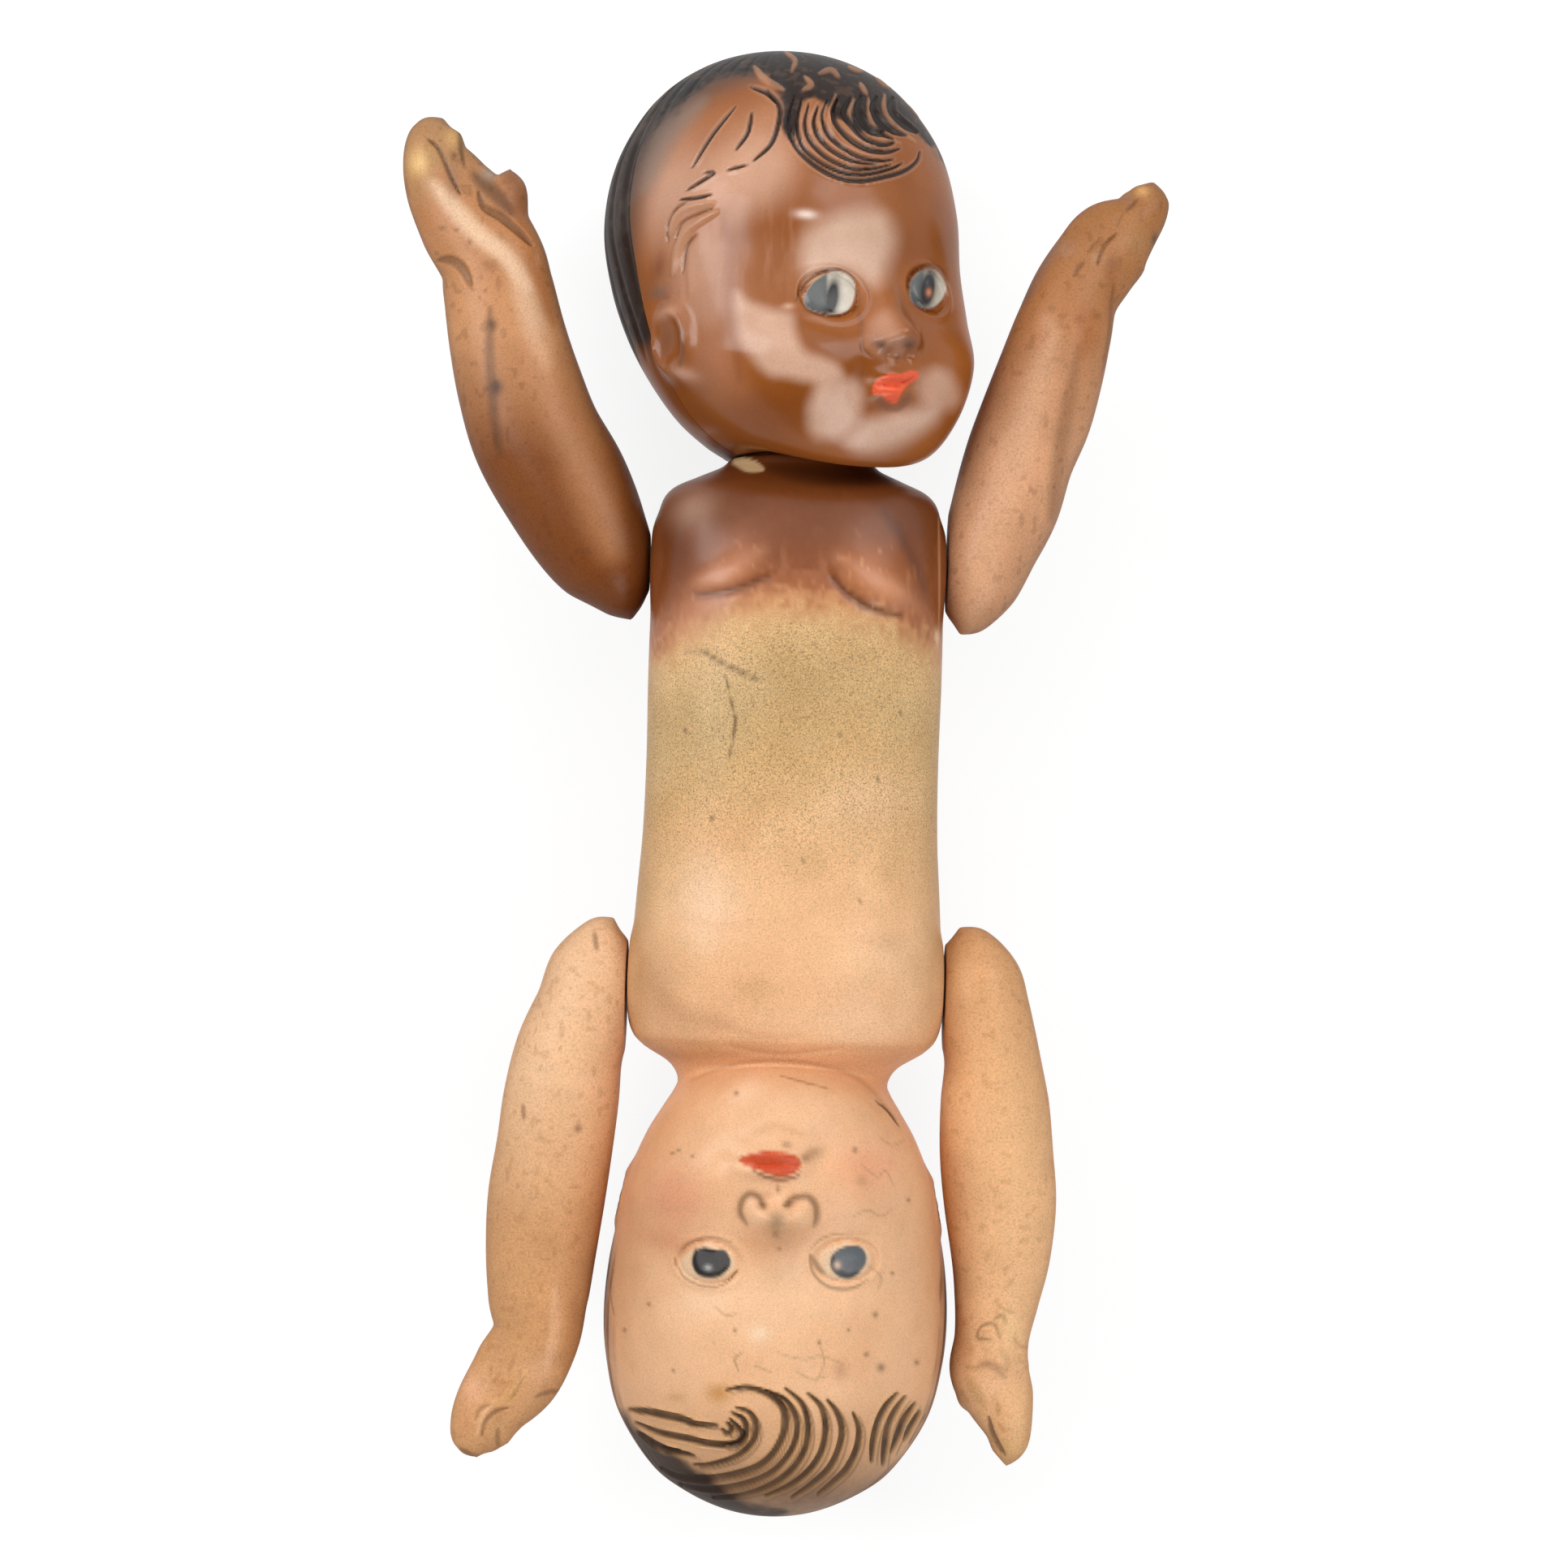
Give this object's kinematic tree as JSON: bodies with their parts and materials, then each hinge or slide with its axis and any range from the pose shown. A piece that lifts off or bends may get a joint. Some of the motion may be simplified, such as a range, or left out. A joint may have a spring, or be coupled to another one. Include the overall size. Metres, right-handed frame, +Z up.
{
  "type": "topsy turvy doll",
  "caption": "Double-ended composition doll lying on its back: two heads joined at the waist, strung arms at both ends, one head that swivels.",
  "frame": {"origin": "middle of the flat patch on the back of the lower head, where the doll rests on the table", "axes": "+Y along the doll towards the crown of the upper, swivelling head; +Z up from the table, the way the lower face looks; +X to the right when the doll is seen from above with the upper head at the top"},
  "size_m": [0.1057, 0.2029, 0.0554],
  "materials": {
    "peach_composition": "peach paint on pressed composition, worn to satin, with a brown fade at one end",
    "brown_composition": "dark brown gloss paint on pressed composition",
    "brown_arm_composition": "brown paint on solid composition, worn to satin, tan at the finger tips",
    "peach_arm_composition": "peach tan paint on solid composition, worn and speckled",
    "hook_wire": "dull bent steel wire",
    "bare_wood": "bare softwood dowel",
    "rubber_elastic": "round black rubber stringing cord"
  },
  "bodies": {
    "body": {"body_front_shell": "peach_composition", "body_back_shell": "peach_composition", "upper_arm_elastic": "rubber_elastic", "lower_arm_elastic": "rubber_elastic"},
    "upper_head": {"upper_head_face_shell": "brown_composition", "upper_head_back_shell": "brown_composition", "head_crossbar": "bare_wood", "head_hook": "hook_wire"},
    "upper_left_arm_body": {"upper_left_arm": "brown_arm_composition", "upper_left_arm_hook": "hook_wire"},
    "upper_right_arm_body": {"upper_right_arm": "brown_arm_composition", "upper_right_arm_hook": "hook_wire"},
    "lower_left_arm_body": {"lower_left_arm": "peach_arm_composition", "lower_left_arm_hook": "hook_wire"},
    "lower_right_arm_body": {"lower_right_arm": "peach_arm_composition", "lower_right_arm_hook": "hook_wire"}
  },
  "joints": [
    {"name": "head_turn", "type": "hinge", "parent": "body", "child": "upper_head", "pos_m": [0, 0.11812, 0.0297], "axis": [-0.0576, 0.9983, 0], "range_deg": [-212, 148], "deforming": ["upper_arm_elastic"]},
    {"name": "upper_left_arm_swing", "type": "hinge", "parent": "body", "child": "upper_left_arm_body", "pos_m": [-0.0205, 0.10272, 0.0302], "axis": [1, 0, 0], "range_deg": [-90, 270], "deforming": ["upper_arm_elastic"]},
    {"name": "upper_right_arm_swing", "type": "hinge", "parent": "body", "child": "upper_right_arm_body", "pos_m": [0.0205, 0.10272, 0.0302], "axis": [1, 0, 0], "range_deg": [-90, 270], "deforming": ["upper_arm_elastic"]},
    {"name": "lower_left_arm_swing", "type": "hinge", "parent": "body", "child": "lower_left_arm_body", "pos_m": [-0.0219, 0.04614, 0.0302], "axis": [-1, 0, 0], "range_deg": [-90, 165], "deforming": ["lower_arm_elastic"]},
    {"name": "lower_right_arm_swing", "type": "hinge", "parent": "body", "child": "lower_right_arm_body", "pos_m": [0.0219, 0.04614, 0.0302], "axis": [-1, 0, 0], "range_deg": [-90, 165], "deforming": ["lower_arm_elastic"]}
  ]
}
